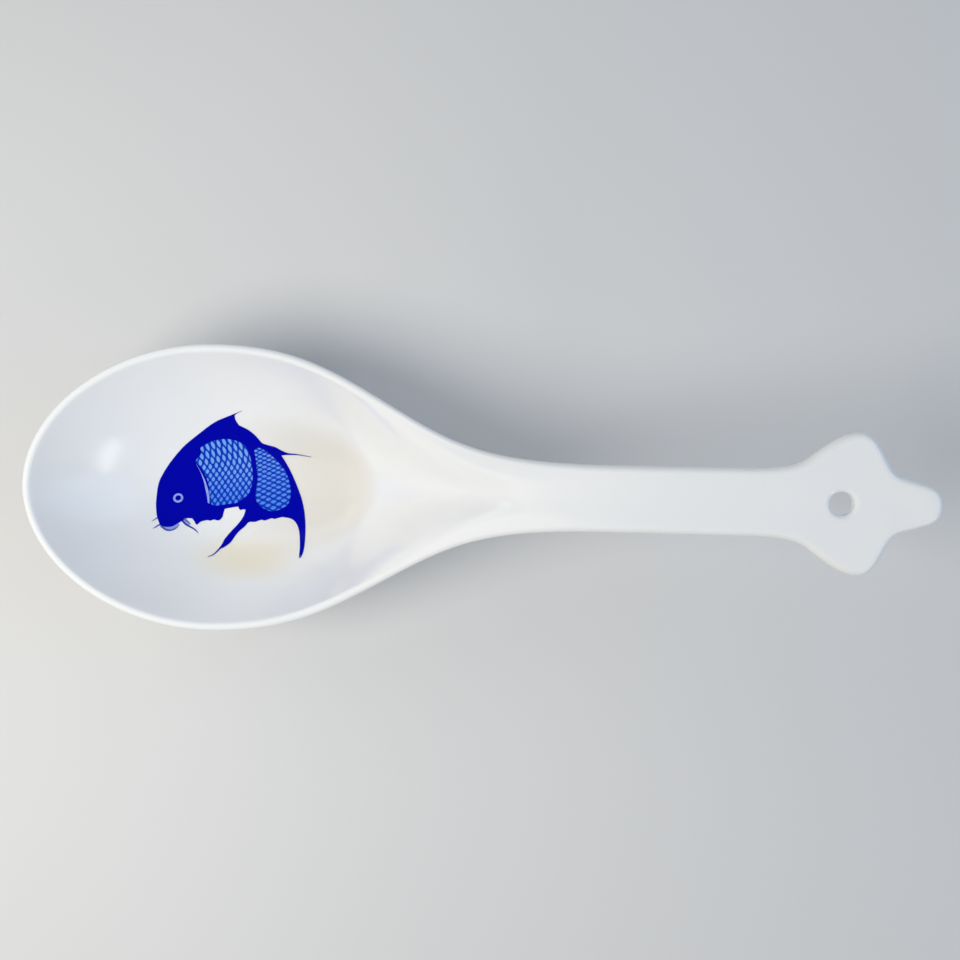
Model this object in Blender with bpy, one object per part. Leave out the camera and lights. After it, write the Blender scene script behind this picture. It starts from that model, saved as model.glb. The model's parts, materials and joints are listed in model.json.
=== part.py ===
"""Porcelain serving spoon with a carp print in its bowl.

Metres, +Z up. +X runs from the tip of the bowl to the end of the handle, the spoon is
symmetric about the XZ plane, and its origin is the middle of the ground foot it stands on.
"""
import bmesh
import bpy
import numpy as np
from mathutils import Vector
from mathutils.bvhtree import BVHTree
from mathutils.geometry import interpolate_bezier

# Plan of the bowl, from its tip
BOWL_LENGTH = 0.106
BOWL_WIDTH = 0.077
BOWL_WIDEST = 0.051
BOWL_END_WIDTH = 0.0388
FLOOR_FROM_TIP = 0.051
FLOOR_FROM_NECK = 0.022

# Plan of the neck, the handle and the star at its end
NECK_LENGTH = 0.052
NECK_TAPER = -0.56
NECK_HOLLOW = 0.033
HOLLOW_SHARE = 0.6
HANDLE_LENGTH = 0.027
HANDLE_WIDTH = 0.0161
STAR_LENGTH = 0.045
STAR_WIDTH = 0.0329
STAR_BEND = 0.0157
STAR_BEND_WIDTH = 0.0202
STAR_ARM = 0.0272
STAR_ARM_RISE = 0.61
STAR_NOTCH = 0.0359
STAR_NOTCH_WIDTH = 0.0134
STAR_POINT_TAPER = -0.376
STAR_POINT_ROUND = 0.0093

# Fullness of the outline: how far each curve holds its direction, as a share of its stretch
TIP_FULLNESS = 0.52
FLANK_FULLNESS = 0.44
SHOULDER_FULLNESS = 0.42
NECK_FULLNESS = 0.33
NECK_END_FULLNESS = 0.52
HANDLE_FULLNESS = 0.33
ARM_SWEEP = 0.41
ARM_RISE_FULLNESS = 0.26
ARM_SHOULDER_FULLNESS = 0.22
ARM_FULLNESS = 0.375
ARM_EDGE_FULLNESS = 0.58
NOTCH_FULLNESS = 0.387
POINT_FULLNESS = 0.67

# Heights over the table of the rim and of the handle's top, and how steeply they rise
TIP_HEIGHT = 0.0325
RIM_DIP = 0.070
RIM_HEIGHT = 0.0295
NECK_HEIGHT = 0.0370
NECK_RISE = 0.42
HANDLE_HEIGHT = 0.0520
HANDLE_RISE = 0.15
END_HEIGHT = 0.059
END_RISE = 0.12

# Inner end of the bowl, where its floor climbs to the neck
BACK_WALL_FROM_NECK = 0.006
BACK_WALL_HEIGHT = 0.013
BACK_WALL_RISE = 0.95

# Thickness of the ware, and how squarely its walls stand on the floor
WALL = 0.0025
FLOOR_THICKNESS = 0.0052
HANDLE_THICKNESS = 0.0050
HANDLE_DISH = 0.0003
EDGE_ROUND = 0.0010
FOOT_GRIND = 0.0012
WALL_SQUARENESS = 2.5
NECK_SQUARENESS = 1.6

# Hanging hole in the star
HOLE_DIAMETER = 0.0055
HOLE_ROUND = 0.0012
HOLE_FROM_END = 0.0214

# Carp print on the floor of the bowl: a fired colour transfer, thickened to a thin solid
PRINT_FROM_TIP = 0.0495
PRINT_LENGTH = 0.0450
PRINT_THICKNESS = 0.0003
PRINT_GAP = 0.0003
GILL_WIDTH = 0.0007
EYE_DIAMETER = 0.0029
PUPIL_DIAMETER = 0.0016

# The carp as drawn, in units of its own, from a point on the spoon's centre line
EYE_PLACE = (-16.3, -4.3)
CARP_STROKES = (
    # Lip, forehead and back to the tip of the dorsal fin
    ((-20.1, -11.95), (-21.3, -9.2), (-21.9, -4.8), (-20.95, 1.5), (-15.15, 9.8), (-7.55, 15.9), (-3.8, 18.2),
     (0.85, 20.0), (4.4, 21.3)),
    # Dorsal fin's streak and trailing edge
    ((4.4, 21.15), (2.9, 20.55), (1.75, 19.9)),
    ((1.75, 19.9), (1.7, 18.7), (2.4, 17.1)),
    # Back behind the dorsal fin
    ((2.4, 17.1), (4.9, 15.8), (6.75, 14.2), (8.3, 12.2), (8.8, 11.85)),
    # Second fin, out to its long tip and back
    ((8.8, 11.85), (10.35, 11.4), (12.25, 10.9), (14.15, 9.9), (15.9, 9.2), (18.5, 8.95), (23.1, 8.2)),
    ((23.1, 8.0), (18.5, 8.6), (15.6, 8.6), (14.0, 8.45)),
    # Rear edge of the body and the outside of the tail
    ((14.0, 8.4), (15.5, 5.9), (16.9, 3.2), (18.4, -0.2), (19.8, -3.9), (20.75, -7.4), (21.45, -11.6), (21.9, -15.7),
     (22.05, -18.65), (21.75, -20.4)),
    # Tail's tip and inside
    ((21.75, -20.4), (21.35, -20.7), (21.0, -20.3)),
    ((21.0, -20.3), (20.8, -18.3), (20.35, -15.8), (19.6, -12.9), (18.4, -10.9), (16.85, -9.9), (14.25, -9.5)),
    # Scalloped belly, in three low waves
    ((14.25, -9.5), (12.85, -9.9), (12.1, -10.1), (11.2, -9.9)),
    ((11.2, -9.9), (10.0, -10.35), (9.1, -10.6), (8.3, -10.4)),
    ((8.3, -10.4), (7.3, -10.7), (6.3, -11.05), (5.0, -11.05), (4.3, -11.25)),
    # Belly fin, out to its tip and back
    ((4.3, -11.25), (3.35, -12.45), (1.9, -13.75), (0.9, -15.15), (-0.1, -16.9), (-1.35, -18.0), (-2.75, -18.85),
     (-3.25, -19.5), (-4.2, -20.4), (-5.75, -20.95)),
    ((-5.75, -20.75), (-4.35, -20.0), (-3.45, -19.0), (-2.6, -17.6), (-1.95, -15.9), (-0.5, -13.85), (1.5, -11.45),
     (2.7, -9.5), (3.25, -7.6)),
    # Step in the belly ahead of that fin
    ((3.25, -7.6), (2.45, -7.5), (1.65, -7.75)),
    ((1.65, -7.75), (1.15, -7.2), (0.95, -6.7)),
    ((0.95, -6.7), (-1.15, -7.05), (-3.0, -7.45)),
    ((-3.0, -7.45), (-3.3, -8.55), (-3.5, -9.75), (-4.15, -10.65)),
    # Scalloped throat, in three low waves
    ((-4.15, -10.65), (-4.75, -10.8), (-5.9, -10.5)),
    ((-5.9, -10.5), (-6.85, -10.85), (-7.7, -10.7)),
    ((-7.7, -10.7), (-9.1, -11.0), (-9.85, -11.45), (-10.4, -12.05)),
    # Chin and mouth
    ((-10.4, -12.05), (-10.85, -11.75), (-11.35, -10.95), (-12.05, -10.2)),
    ((-12.05, -10.2), (-12.8, -10.15), (-13.65, -10.25), (-14.55, -10.85)),
    ((-14.55, -10.85), (-15.85, -11.75), (-16.65, -12.3), (-17.7, -12.55), (-18.95, -12.45), (-20.1, -11.95)),
)
# Edges of the two scaly flanks, with the pale line of the gill in front of the first
FRONT_FLANK = (
    (-10.7, 7.55), (-9.8, 8.5), (-9.65, 10.4), (-7.75, 11.6), (-5.75, 12.5), (-2.35, 13.1), (0.0, 12.8), (2.1, 12.1),
    (3.4, 11.1), (4.3, 9.2), (4.85, 6.4), (5.2, 2.6), (4.9, -0.2), (3.9, -3.0), (2.4, -4.2), (0.45, -5.6),
    (-1.95, -6.0), (-4.1, -6.3), (-6.1, -6.5),
)
GILL = ((-7.95, -5.95), (-8.4, -3.55), (-8.9, -1.4), (-9.4, 0.9), (-10.2, 3.3), (-11.3, 5.8))
REAR_FLANK = (
    (6.0, 9.8), (7.2, 10.6), (8.8, 10.0), (10.45, 8.9), (12.9, 6.5), (15.2, 3.4), (16.4, -0.4), (16.6, -2.8),
    (15.9, -5.7), (14.2, -6.95), (12.7, -7.6), (10.8, -7.9), (9.0, -7.3), (7.45, -6.4), (6.3, -4.8), (6.15, -2.6),
    (6.7, 1.8), (6.4, 5.0), (6.15, 8.2),
)
DRAWN_ALONG = [point[0] for stroke in CARP_STROKES for point in stroke]
DRAWN_LENGTH = max(DRAWN_ALONG) - min(DRAWN_ALONG)

# Facets
RIB_STEPS = (18, 20, 14, 4, 6, 6, 7, 7)
WALL_STEPS = 10
LIP_STEPS = 6
HOLE_STEPS = 24
PRINT_STEPS = 2
EYE_STEPS = 16
HOLE_ROUND_STEPS = 3
PRINT_CELL = 0.005
RIM_CROWDING = 1.3
SLOPE_STEP = 0.0005
MERGE = 0.000002
TINY = 1e-12

# Stations along the spoon, from the bowl's tip
FLOOR_START = FLOOR_FROM_TIP
FLOOR_END = BOWL_LENGTH - FLOOR_FROM_NECK
BACK_WALL = BOWL_LENGTH - BACK_WALL_FROM_NECK
HANDLE_START = BOWL_LENGTH + NECK_LENGTH
HANDLE_END = HANDLE_START + HANDLE_LENGTH
LENGTH = HANDLE_END + STAR_LENGTH
HOLLOW_END = BOWL_LENGTH + NECK_HOLLOW
POINT_START = HANDLE_END + STAR_NOTCH

PORCELAIN = (0.83, 0.84, 0.85, 1.0)
COBALT = (0.0, 0.001, 0.36, 1.0)
SCALE_BLUE = (0.16, 0.30, 0.75, 1.0)
GLAZE_ROUGHNESS = 0.08
PRINT_ROUGHNESS = 0.10


def clear_scene():
    for obj in list(bpy.data.objects):
        bpy.data.objects.remove(obj, do_unlink=True)


def glaze(name, colour, roughness):
    mat = bpy.data.materials.new(name)
    mat.use_nodes = True
    shader = mat.node_tree.nodes["Principled BSDF"]
    shader.inputs["Base Color"].default_value = colour
    shader.inputs["Roughness"].default_value = roughness
    shader.inputs["Metallic"].default_value = 0.0
    return mat


def add_object(name, bm, mat):
    mesh = bpy.data.meshes.new(name)
    bm.to_mesh(mesh)
    bm.free()
    mesh.materials.append(mat)
    obj = bpy.data.objects.new(name, mesh)
    bpy.context.collection.objects.link(obj)
    return obj


def line_through(knots, x):
    """Height at x of the smooth line through knots of (x, height, slope)."""
    for (x0, z0, m0), (x1, z1, m1) in zip(knots, knots[1:]):
        if x <= x1:
            break
    span = x1 - x0
    t = min(max((x - x0) / span, 0.0), 1.0)
    ease = t * t * (3.0 - 2.0 * t)
    leaving = m0 * span * t * (1.0 - t) ** 2
    arriving = m1 * span * t * t * (t - 1.0)
    return z0 + (z1 - z0) * ease + leaving + arriving


def rim_height(x):
    return line_through([
        (0.0, TIP_HEIGHT, 0.0),
        (RIM_DIP, RIM_HEIGHT, 0.0),
        (BOWL_LENGTH, NECK_HEIGHT, NECK_RISE),
        (HANDLE_START, HANDLE_HEIGHT, HANDLE_RISE),
        (LENGTH, END_HEIGHT, END_RISE),
    ], x)


def edge_thickness(x):
    return line_through([(BOWL_LENGTH, WALL, 0.0), (HANDLE_START, HANDLE_THICKNESS, 0.0)], x)


def centre_thickness(x):
    return line_through([(FLOOR_END, FLOOR_THICKNESS, 0.0), (HANDLE_START, HANDLE_THICKNESS, 0.0)], x)


def edge_height(x):
    """Height of the middle of the ware at its edge."""
    return rim_height(x) - edge_thickness(x) / 2


def keel_height(x):
    """Height of the middle of the ware along the spoon's centre line."""
    floor = FLOOR_THICKNESS / 2 - FOOT_GRIND
    if x > HOLLOW_END:
        return edge_height(x) - HANDLE_DISH
    slope = (edge_height(HOLLOW_END + SLOPE_STEP) - edge_height(HOLLOW_END)) / SLOPE_STEP
    return line_through([
        (FLOOR_END, floor, 0.0),
        (BACK_WALL, BACK_WALL_HEIGHT, BACK_WALL_RISE),
        (HOLLOW_END, edge_height(HOLLOW_END) - HANDLE_DISH, slope),
    ], x)


def edge_reach(x):
    """How far the rounding of the edge reaches in from the outline."""
    return line_through([(BOWL_LENGTH, WALL / 2, 0.0), (HANDLE_START, EDGE_ROUND, 0.0)], x)


def climb(x, reach):
    """How far the ware has climbed along a rib, from 0 at its centre line to 1 at its edge."""
    wall = reach ** WALL_SQUARENESS
    width = line_through([(BACK_WALL, 1.0, 0.0), (HOLLOW_END, HOLLOW_SHARE, 0.0), (HANDLE_START, 1.0, 0.0)], x)
    hollow = 1.0 - (1.0 - np.minimum(reach / width, 1.0) ** 2) ** NECK_SQUARENESS
    neck = line_through([(FLOOR_END, 0.0, 0.0), (BOWL_LENGTH, 1.0, 0.0)], x)
    return wall + (hollow - wall) * neck


def half_outline():
    """Plan outline of the +Y side, from the bowl's tip to the point of the star."""
    ahead = Vector((1.0, 0.0, 0.0))
    across = Vector((0.0, 1.0, 0.0))
    into_neck = Vector((1.0, NECK_TAPER, 0.0)).normalized()
    up_arm = Vector((1.0, STAR_ARM_RISE, 0.0)).normalized()
    into_point = Vector((1.0, STAR_POINT_TAPER, 0.0)).normalized()
    half_bowl = BOWL_WIDTH / 2
    half_end = BOWL_END_WIDTH / 2
    half_handle = HANDLE_WIDTH / 2
    half_bend = STAR_BEND_WIDTH / 2
    half_star = STAR_WIDTH / 2
    half_notch = STAR_NOTCH_WIDTH / 2
    flank = BOWL_LENGTH - BOWL_WIDEST
    grip = HANDLE_FULLNESS * HANDLE_LENGTH
    shoulder = STAR_ARM - STAR_BEND
    edge = STAR_NOTCH - STAR_ARM
    point = STAR_LENGTH - STAR_NOTCH
    bend = HANDLE_END + STAR_BEND
    # Each knot: place, direction of travel, reach of the curve behind it and ahead of it
    knots = [
        ((0.0, 0.0), across, 0.0, TIP_FULLNESS * half_bowl),
        ((BOWL_WIDEST, half_bowl), ahead, TIP_FULLNESS * BOWL_WIDEST, FLANK_FULLNESS * flank),
        ((BOWL_LENGTH, half_end), into_neck, SHOULDER_FULLNESS * flank, NECK_FULLNESS * NECK_LENGTH),
        ((HANDLE_START, half_handle), ahead, NECK_END_FULLNESS * NECK_LENGTH, grip),
        ((HANDLE_END, half_handle), ahead, grip, ARM_SWEEP * STAR_BEND),
        ((bend, half_bend), up_arm, ARM_RISE_FULLNESS * STAR_BEND, ARM_SHOULDER_FULLNESS * shoulder),
        ((HANDLE_END + STAR_ARM, half_star), ahead, ARM_FULLNESS * shoulder, ARM_EDGE_FULLNESS * edge),
        ((POINT_START, half_notch), into_point, NOTCH_FULLNESS * edge, POINT_FULLNESS * point),
        ((LENGTH, 0.0), -across, STAR_POINT_ROUND / 2, 0.0),
    ]
    points = []
    for (place, heading, _, reach), (goal, arrival, approach, _), steps in zip(knots, knots[1:], RIB_STEPS):
        start = Vector((*place, 0.0))
        end = Vector((*goal, 0.0))
        points += interpolate_bezier(
            start, start + heading * reach, end - arrival * approach, end, steps + 1)[:-1]
    points.append(end)
    return np.array([(p.x, p.y) for p in points])


def mirrored(points):
    return points * np.array((1.0, -1.0, 1.0))


def unit(vectors):
    return vectors / np.maximum(np.linalg.norm(vectors, axis=-1, keepdims=True), TINY)


def ware_ribs():
    """Rows of points from the centre line's top, over the lip, to the centre line's underside."""
    outline = half_outline()
    flat = np.column_stack((outline, np.zeros(len(outline))))
    travel = np.gradient(flat, axis=0)
    travel[0] = flat[1] - mirrored(flat[1])
    travel[-1] = mirrored(flat[-2]) - flat[-2]
    outward = unit(np.column_stack((-travel[:, 1], travel[:, 0])))
    lip = np.array([edge_thickness(x) / 2 for x in outline[:, 0]])
    inset = np.array([edge_reach(x) for x in outline[:, 0]])
    edge = outline - outward * inset[:, None]
    edge[[0, -1], 1] = 0.0

    # Middle of the ware, from the centre line to the edge
    centre_x = np.clip(edge[:, 0], FLOOR_START, POINT_START)
    reach = 1.0 - (1.0 - np.linspace(0.0, 1.0, WALL_STEPS + 1)) ** RIM_CROWDING
    middle = np.zeros((len(outline), len(reach), 3))
    half = np.zeros((len(outline), len(reach)))
    for rib, x in enumerate(centre_x):
        low = keel_height(x)
        high = edge_height(outline[rib, 0])
        middle[rib, :, 0] = x + (edge[rib, 0] - x) * reach
        middle[rib, :, 1] = edge[rib, 1] * reach
        middle[rib, :, 2] = low + (high - low) * climb(x, reach)
        half[rib] = centre_thickness(x) / 2 + (lip[rib] - centre_thickness(x) / 2) * reach ** 2

    # Direction square to the ware, from its neighbours along the outline and along the rib
    along = np.gradient(middle, axis=0)
    along[0] = middle[1] - mirrored(middle[1])
    along[-1] = mirrored(middle[-2]) - middle[-2]
    up_rib = np.gradient(middle, axis=1)
    up_rib[:, 0] = middle[:, 1] - mirrored(middle[:, 1])
    square = unit(np.cross(up_rib, along))
    fan_in = np.argmax(centre_x > FLOOR_START)
    fan_out = len(centre_x) - 1 - np.argmax(centre_x[::-1] < POINT_START)
    square[:fan_in, 0] = square[fan_in, 0]
    square[fan_out + 1:, 0] = square[fan_out, 0]
    square *= np.sign(square[:, :, 2:])

    top = middle + square * half[:, :, None]
    under = middle - square * half[:, :, None]
    rim_square = square[:, -1]
    rim_out = unit(np.cross(rim_square, unit(along[:, -1])))
    turn = np.linspace(0.0, np.pi, LIP_STEPS + 1)[1:-1]
    rise = rim_square[:, None] * lip[:, None, None] * np.cos(turn)[None, :, None]
    swell = rim_out[:, None] * inset[:, None, None] * np.sin(turn)[None, :, None]
    round_lip = middle[:, -1:] + rise + swell
    return np.concatenate((top, round_lip, under[:, ::-1]), axis=1)


def build_body(mat):
    """One piece of ware: bowl, neck, handle and star."""
    ribs = ware_ribs()
    rows, columns = ribs.shape[:2]
    bm = bmesh.new()
    bmesh.ops.create_grid(bm, x_segments=columns - 1, y_segments=rows - 1, size=LENGTH)
    for vert, place in zip(bm.verts, ribs.reshape(-1, 3)):
        vert.co = place
    bmesh.ops.mirror(bm, geom=bm.verts[:] + bm.edges[:] + bm.faces[:], axis="Y", merge_dist=MERGE)
    bmesh.ops.remove_doubles(bm, verts=bm.verts, dist=MERGE)
    bmesh.ops.dissolve_degenerate(bm, edges=bm.edges, dist=MERGE)
    bmesh.ops.recalc_face_normals(bm, faces=bm.faces)
    foot_centre = grind_foot(bm)
    bmesh.ops.triangulate(bm, faces=bm.faces)
    surface = BVHTree.FromBMesh(bm)
    body = add_object("spoon_body", bm, mat)
    body.data.shade_smooth()
    cut_hole(body)
    return body, surface, foot_centre


def grind_foot(bm):
    """Cut the underside flat at the table, with a crisp edge, and return where its middle lies along X."""
    cut = bmesh.ops.bisect_plane(
        bm, geom=bm.verts[:] + bm.edges[:] + bm.faces[:], dist=MERGE,
        plane_co=(0.0, 0.0, 0.0), plane_no=(0.0, 0.0, -1.0), clear_outer=True)
    ring = [item for item in cut["geom_cut"] if isinstance(item, bmesh.types.BMEdge)]
    bmesh.ops.contextual_create(bm, geom=ring)
    bmesh.ops.recalc_face_normals(bm, faces=bm.faces)
    for edge in ring:
        edge.smooth = False
    along = [vert.co.x for edge in ring for vert in edge.verts]
    return (min(along) + max(along)) / 2


def hole_cutter():
    """Cutter that leaves a hole square to the star, with rounded edges."""
    x = LENGTH - HOLE_FROM_END
    middle = Vector((x, 0.0, keel_height(x)))
    slope = (keel_height(x + HOLE_ROUND) - keel_height(x - HOLE_ROUND)) / (2 * HOLE_ROUND)
    half = centre_thickness(x) / 2
    radius = HOLE_DIAMETER / 2
    turns = np.linspace(0.0, np.pi / 2, HOLE_ROUND_STEPS + 1)
    flare = [(radius + HOLE_ROUND * (1 - np.cos(a)), half - HOLE_ROUND * (1 - np.sin(a))) for a in turns]
    past = (radius + HOLE_ROUND, half + HOLE_ROUND)
    profile = [(0.0, past[1]), past] + flare[::-1]
    profile += [(r, -z) for r, z in profile[::-1]]
    bm = bmesh.new()
    verts = [bm.verts.new((r, 0.0, z)) for r, z in profile]
    edges = [bm.edges.new(pair) for pair in zip(verts, verts[1:])]
    bmesh.ops.spin(
        bm, geom=verts + edges, cent=(0, 0, 0), axis=(0, 0, 1), angle=2 * np.pi,
        steps=HOLE_STEPS, use_merge=True)
    bmesh.ops.remove_doubles(bm, verts=bm.verts, dist=MERGE)
    bmesh.ops.recalc_face_normals(bm, faces=bm.faces)
    lean = Vector((0, 0, 1)).rotation_difference(Vector((-slope, 0.0, 1.0)))
    bmesh.ops.transform(bm, matrix=lean.to_matrix().to_4x4(), verts=bm.verts)
    bmesh.ops.translate(bm, vec=middle, verts=bm.verts)
    return bm


def cut_hole(body):
    cutter = add_object("hole_cutter", hole_cutter(), body.data.materials[0])
    cutter.hide_render = True
    cutter.display_type = "WIRE"
    cutter.parent = body
    cut = body.modifiers.new("hanging hole", "BOOLEAN")
    cut.operation = "DIFFERENCE"
    cut.solver = "EXACT"
    cut.object = cutter


def smooth_curve(points, closed=False):
    """Points along a smooth curve through the given ones; the last of an open curve is left out."""
    path = [Vector((point[0], point[1], 0.0)) for point in points]
    count = len(path)
    if closed:
        headings = [path[(i + 1) % count] - path[i - 1] for i in range(count)]
        spans = [(i, (i + 1) % count) for i in range(count)]
    else:
        headings = [path[min(i + 1, count - 1)] - path[max(i - 1, 0)] for i in range(count)]
        spans = [(i, i + 1) for i in range(count - 1)]
    curve = []
    for i, j in spans:
        reach = (path[j] - path[i]).length / 3
        lead = path[i] + headings[i].normalized() * reach
        tail = path[j] - headings[j].normalized() * reach
        curve += interpolate_bezier(path[i], lead, tail, path[j], PRINT_STEPS + 1)[:-1]
    return curve


def placed(drawn):
    """Drawn points at their real size and place on the spoon."""
    scale = PRINT_LENGTH / DRAWN_LENGTH
    return [Vector((PRINT_FROM_TIP + point[0] * scale, point[1] * scale, 0.0)) for point in drawn]


def circle(centre, diameter, steps):
    turns = np.linspace(0.0, 2 * np.pi, steps, endpoint=False)
    return [centre + Vector((np.cos(a), np.sin(a), 0.0)) * diameter / 2 for a in turns]


def shrunk(loop, gaps):
    """A loop, drawn clockwise, with each of its points moved in by its gap."""
    moved = []
    for before, here, after, gap in zip(loop[-1:] + loop[:-1], loop, loop[1:] + loop[:1], gaps):
        travel = (after - before).normalized()
        moved.append(here + Vector((travel.y, -travel.x, 0.0)) * gap)
    return moved


def build_film(name, loops, surface, mat):
    """Thin solid inside the first loop and outside the others, draped over the bowl's floor."""
    bm = bmesh.new()
    for loop in loops:
        verts = [bm.verts.new(point) for point in loop]
        for pair in zip(verts, verts[1:] + verts[:1]):
            bm.edges.new(pair)
    bmesh.ops.triangle_fill(bm, use_beauty=True, edges=bm.edges)
    for axis in (Vector((1.0, 0.0, 0.0)), Vector((0.0, 1.0, 0.0))):
        along = [point.dot(axis) for point in loops[0]]
        for cut in np.arange(min(along), max(along), PRINT_CELL)[1:]:
            bmesh.ops.bisect_plane(
                bm, geom=bm.verts[:] + bm.edges[:] + bm.faces[:], dist=MERGE,
                plane_co=axis * cut, plane_no=axis)
    bmesh.ops.triangulate(bm, faces=bm.faces)
    for vert in bm.verts:
        floor = surface.ray_cast(vert.co + Vector((0.0, 0.0, END_HEIGHT)), Vector((0.0, 0.0, -1.0)))[0]
        vert.co.z = floor.z + PRINT_GAP
    raised = bmesh.ops.extrude_face_region(bm, geom=bm.faces[:], use_keep_orig=True)
    upper = [item for item in raised["geom"] if isinstance(item, bmesh.types.BMVert)]
    bmesh.ops.translate(bm, vec=(0.0, 0.0, PRINT_THICKNESS), verts=upper)
    bmesh.ops.recalc_face_normals(bm, faces=bm.faces)
    return add_object(name, bm, mat)


def build_print(surface, cobalt, scale_blue):
    """The carp: its body, its pupil and its two scaly flanks."""
    outline = placed([point for stroke in CARP_STROKES for point in smooth_curve(stroke)])
    front = placed(FRONT_FLANK + GILL)
    rear = placed(REAR_FLANK)
    front_gaps = [PRINT_GAP] * len(FRONT_FLANK) + [GILL_WIDTH] * len(GILL)
    rear_gaps = [PRINT_GAP] * len(REAR_FLANK)
    eye = placed([EYE_PLACE])[0]
    windows = [
        smooth_curve(front, closed=True),
        smooth_curve(rear, closed=True),
        circle(eye, EYE_DIAMETER, EYE_STEPS),
    ]
    front_scales = smooth_curve(shrunk(front, front_gaps), closed=True)
    rear_scales = smooth_curve(shrunk(rear, rear_gaps), closed=True)
    pupil = circle(eye, PUPIL_DIAMETER, EYE_STEPS)
    return [
        build_film("carp_print_body", [outline] + windows, surface, cobalt),
        build_film("carp_print_pupil", [pupil], surface, cobalt),
        build_film("carp_print_scales_front", [front_scales], surface, scale_blue),
        build_film("carp_print_scales_rear", [rear_scales], surface, scale_blue),
    ]


def main():
    clear_scene()
    porcelain = glaze("white_glaze", PORCELAIN, GLAZE_ROUGHNESS)
    cobalt = glaze("cobalt_print", COBALT, PRINT_ROUGHNESS)
    scale_blue = glaze("scale_blue_print", SCALE_BLUE, PRINT_ROUGHNESS)
    body, surface, foot_centre = build_body(porcelain)
    for piece in [body] + build_print(surface, cobalt, scale_blue):
        piece.location.x = -foot_centre


main()
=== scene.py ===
"""Looks of a porcelain serving spoon with a carp print in its bowl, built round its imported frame."""
import json
from math import cos, pi, radians, sin

import bmesh
import bpy
import numpy as np
from bpy.props import FloatProperty, FloatVectorProperty, PointerProperty
from bpy.types import Operator, Panel, PropertyGroup
from mathutils import Matrix, Vector
from mathutils.bvhtree import BVHTree
from mathutils.geometry import interpolate_bezier


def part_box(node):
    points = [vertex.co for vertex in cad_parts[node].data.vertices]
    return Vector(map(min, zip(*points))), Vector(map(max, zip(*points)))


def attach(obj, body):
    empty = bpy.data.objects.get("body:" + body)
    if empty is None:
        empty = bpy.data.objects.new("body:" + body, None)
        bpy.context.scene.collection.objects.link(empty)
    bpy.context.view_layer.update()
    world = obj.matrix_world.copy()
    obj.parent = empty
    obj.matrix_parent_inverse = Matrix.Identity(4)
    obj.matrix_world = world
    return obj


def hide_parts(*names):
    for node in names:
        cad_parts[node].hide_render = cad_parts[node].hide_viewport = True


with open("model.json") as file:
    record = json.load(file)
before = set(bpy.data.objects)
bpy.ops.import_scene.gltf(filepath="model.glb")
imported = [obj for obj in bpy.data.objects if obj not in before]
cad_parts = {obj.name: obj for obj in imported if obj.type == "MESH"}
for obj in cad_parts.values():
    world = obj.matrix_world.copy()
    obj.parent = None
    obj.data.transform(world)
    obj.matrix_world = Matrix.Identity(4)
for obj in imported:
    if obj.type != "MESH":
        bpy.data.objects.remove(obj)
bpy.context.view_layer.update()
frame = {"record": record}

bl_info = {
    "name": "Carp serving spoon",
    "version": (1, 0, 0),
    "blender": (4, 5, 0),
    "location": "View3D > Sidebar > Spoon",
    "description": "Models and finishes a porcelain serving spoon round its packed frame",
    "category": "Object",
}

LOW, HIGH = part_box("spoon_body")
PRINT_LOW, PRINT_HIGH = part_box("carp_print_body")
FINISHES = {finish["slot"]: finish["base_color"][:3] for finish in frame["record"]["materials"]}

# Slopes of the rim, of the back wall and of the plan outline, as rise over run
NECK_TAPER = -0.56
STAR_ARM_RISE = 0.61
STAR_POINT_TAPER = -0.376
NECK_RISE = 0.42
HANDLE_RISE = 0.15
END_RISE = 0.12
BACK_WALL_RISE = 0.95

# Fullness of the outline: how far each curve holds its direction, as a share of its stretch
TIP_FULLNESS = 0.52
FLANK_FULLNESS = 0.44
SHOULDER_FULLNESS = 0.42
NECK_FULLNESS = 0.33
NECK_END_FULLNESS = 0.52
HANDLE_FULLNESS = 0.33
ARM_SWEEP = 0.41
ARM_RISE_FULLNESS = 0.26
ARM_SHOULDER_FULLNESS = 0.22
ARM_FULLNESS = 0.375
ARM_EDGE_FULLNESS = 0.58
NOTCH_FULLNESS = 0.387
POINT_FULLNESS = 0.67

# How squarely the walls stand on the floor, and the share of the neck's width that is still hollow at its end
WALL_SQUARENESS = 2.5
NECK_SQUARENESS = 1.6
HOLLOW_SHARE = 0.6

# Passes that soften the corner of floor and back wall, and the underside of the neck
EASE_PASSES = 16
NECK_PASSES = 6

# Fineness of the meshes, and lengths too short to matter
RIB_STEPS = (64, 44, 44, 16, 22, 24, 30, 30)
WALL_STEPS = 30
LIP_STEPS = 14
RIM_CROWDING = 1.3
HOLE_STEPS = 72
HOLE_ROUND_STEPS = 8
PRINT_STEPS = 8
EYE_STEPS = 40
PRINT_CELL = 0.0012
SLOPE_STEP = 0.0005
MERGE = 0.0000015
TINY = 1e-12

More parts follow.
